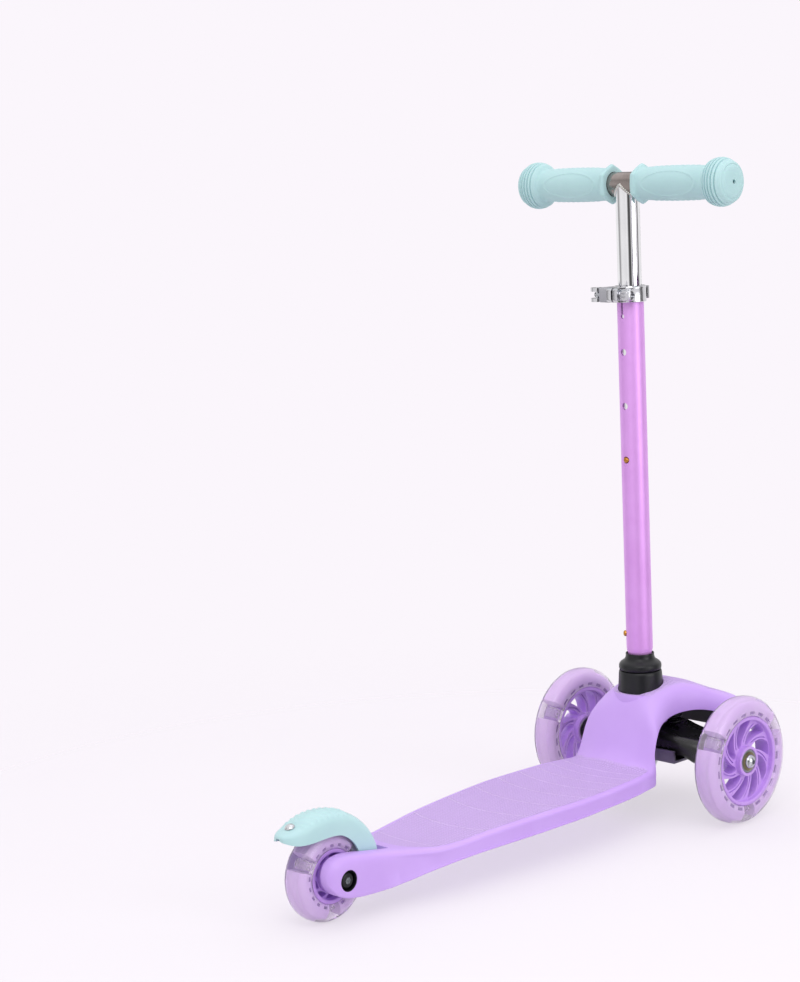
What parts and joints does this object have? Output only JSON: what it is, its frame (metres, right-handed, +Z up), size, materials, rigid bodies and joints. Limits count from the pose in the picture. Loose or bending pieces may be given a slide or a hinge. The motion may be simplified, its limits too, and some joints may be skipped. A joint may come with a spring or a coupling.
{
  "type": "kick scooter",
  "caption": "Small child's lean-to-steer kick scooter: moulded deck, wide front axle, single rear wheel with a foot brake, and a height-adjustable lift-off T-bar.",
  "frame": {"origin": "middle of the footprint, on the floor", "axes": "+X forward (the way it is ridden), +Y the rider's left, +Z up"},
  "size_m": [0.5722, 0.244, 0.6187],
  "materials": {
    "lavender_plastic": "satin, fine moulded grain",
    "hub_plastic": "smooth moulded",
    "clear_pu": "clear, slightly tinted, semi-gloss",
    "light_lens": "clear",
    "bearing_steel": "ground",
    "bolt_steel": "bright plated",
    "black_plastic": "satin moulded",
    "black_rubber": "matt",
    "spring_steel": "bright",
    "grey_steel": "plated sheet",
    "mint_plastic": "satin",
    "mint_rubber": "soft matt",
    "magenta_tube": "anodised, semi-gloss",
    "chrome_tube": "polished",
    "clamp_chrome": "polished",
    "cam_seat_plastic": "matt",
    "brass_button": "bright"
  },
  "bodies": {
    "deck": {"deck": "lavender_plastic", "stem_socket": "black_plastic", "kingpin_bolt": "bolt_steel", "kingpin_bushing": "black_rubber", "steering_spring_right": "spring_steel", "steering_spring_left": "spring_steel", "rear_axle_bolt": "bolt_steel", "rear_axle_nut": "bolt_steel", "rear_axle_spacer_right": "bearing_steel", "rear_axle_spacer_left": "bearing_steel", "rear_wheel_spacer": "black_plastic", "brake_leaf": "spring_steel", "brake_leaf_screw": "bolt_steel"},
    "front_axle": {"axle_bridge": "black_plastic", "axle_channel": "grey_steel", "axle_bolt_right": "bolt_steel", "axle_bolt_left": "bolt_steel", "axle_washer_right": "bearing_steel", "axle_washer_left": "bearing_steel", "front_wheel_right_spacer": "black_plastic", "front_wheel_left_spacer": "black_plastic"},
    "front_wheel_right": {"front_wheel_right_tyre": "clear_pu", "front_wheel_right_hub": "hub_plastic", "front_wheel_right_bearing_outer": "bearing_steel", "front_wheel_right_bearing_inner": "bearing_steel", "front_wheel_right_light_1": "light_lens", "front_wheel_right_light_2": "light_lens", "front_wheel_right_light_3": "light_lens"},
    "front_wheel_left": {"front_wheel_left_tyre": "clear_pu", "front_wheel_left_hub": "hub_plastic", "front_wheel_left_bearing_outer": "bearing_steel", "front_wheel_left_bearing_inner": "bearing_steel", "front_wheel_left_light_1": "light_lens", "front_wheel_left_light_2": "light_lens", "front_wheel_left_light_3": "light_lens"},
    "rear_wheel": {"rear_wheel_tyre": "clear_pu", "rear_wheel_hub": "hub_plastic", "rear_wheel_bearing_outer": "bearing_steel", "rear_wheel_bearing_inner": "bearing_steel", "rear_wheel_light_1": "light_lens", "rear_wheel_light_2": "light_lens", "rear_wheel_light_3": "light_lens"},
    "brake": {"brake_fender": "mint_plastic", "brake_rivet_tail": "bolt_steel", "brake_rivet_front": "bolt_steel"},
    "t_bar": {"stem_tube": "magenta_tube", "stem_collar": "black_plastic", "clamp_collar": "clamp_chrome", "clamp_skewer": "bolt_steel", "clamp_nut": "bolt_steel", "clamp_cam_seat": "cam_seat_plastic"},
    "stem_release_button": {"stem_release_button": "brass_button"},
    "clamp_lever": {"clamp_lever": "clamp_chrome", "clamp_lever_pin": "brass_button"},
    "handlebar": {"handlebar": "chrome_tube", "grip_right": "mint_rubber", "grip_left": "mint_rubber"},
    "height_button": {"height_button": "brass_button"}
  },
  "joints": [
    {"name": "lean_steer", "type": "hinge", "parent": "deck", "child": "front_axle", "pos_m": [0.2051, 0, 0.06], "axis": [0.6428, 0, 0.766], "range_deg": [-12, 12], "stiffness_Nm_per_rad": 60, "deforming": ["steering_spring_right", "steering_spring_left"]},
    {"name": "front_wheel_right_spin", "type": "hinge", "parent": "front_axle", "child": "front_wheel_right", "pos_m": [0.2051, -0.0986, 0.06], "axis": [0, 1, 0], "continuous": true},
    {"name": "front_wheel_left_spin", "type": "hinge", "parent": "front_axle", "child": "front_wheel_left", "pos_m": [0.2051, 0.0986, 0.06], "axis": [0, 1, 0], "continuous": true},
    {"name": "rear_wheel_spin", "type": "hinge", "parent": "deck", "child": "rear_wheel", "pos_m": [-0.2355, 0, 0.04], "axis": [0, 1, 0], "continuous": true},
    {"name": "brake_press", "type": "hinge", "parent": "deck", "child": "brake", "pos_m": [-0.1855, 0, 0.042], "axis": [0, 1, 0], "range_deg": [-7, 0], "stiffness_Nm_per_rad": 18, "deforming": ["brake_leaf"]},
    {"name": "t_bar_lift", "type": "slide", "parent": "deck", "child": "t_bar", "axis": [-0.0113, 0, 0.9999], "range_m": [0, 0.065]},
    {"name": "stem_release_press", "type": "slide", "parent": "t_bar", "child": "stem_release_button", "axis": [0.6427, -0.766, 0.0073], "range_m": [0, 0.003], "stiffness_N_per_m": 800},
    {"name": "clamp_lever_swing", "type": "hinge", "parent": "t_bar", "child": "clamp_lever", "pos_m": [0.15833, 0.0226, 0.49525], "axis": [-0.0113, 0, 0.9999], "range_deg": [0, 110]},
    {"name": "handlebar_height", "type": "slide", "parent": "t_bar", "child": "handlebar", "axis": [-0.0113, 0, 0.9999], "range_m": [0, 0.1012], "deforming": ["height_button"]},
    {"name": "height_button_press", "type": "slide", "parent": "handlebar", "child": "height_button", "axis": [0.9999, 0, 0.0113], "range_m": [0, 0.0026], "stiffness_N_per_m": 800}
  ]
}
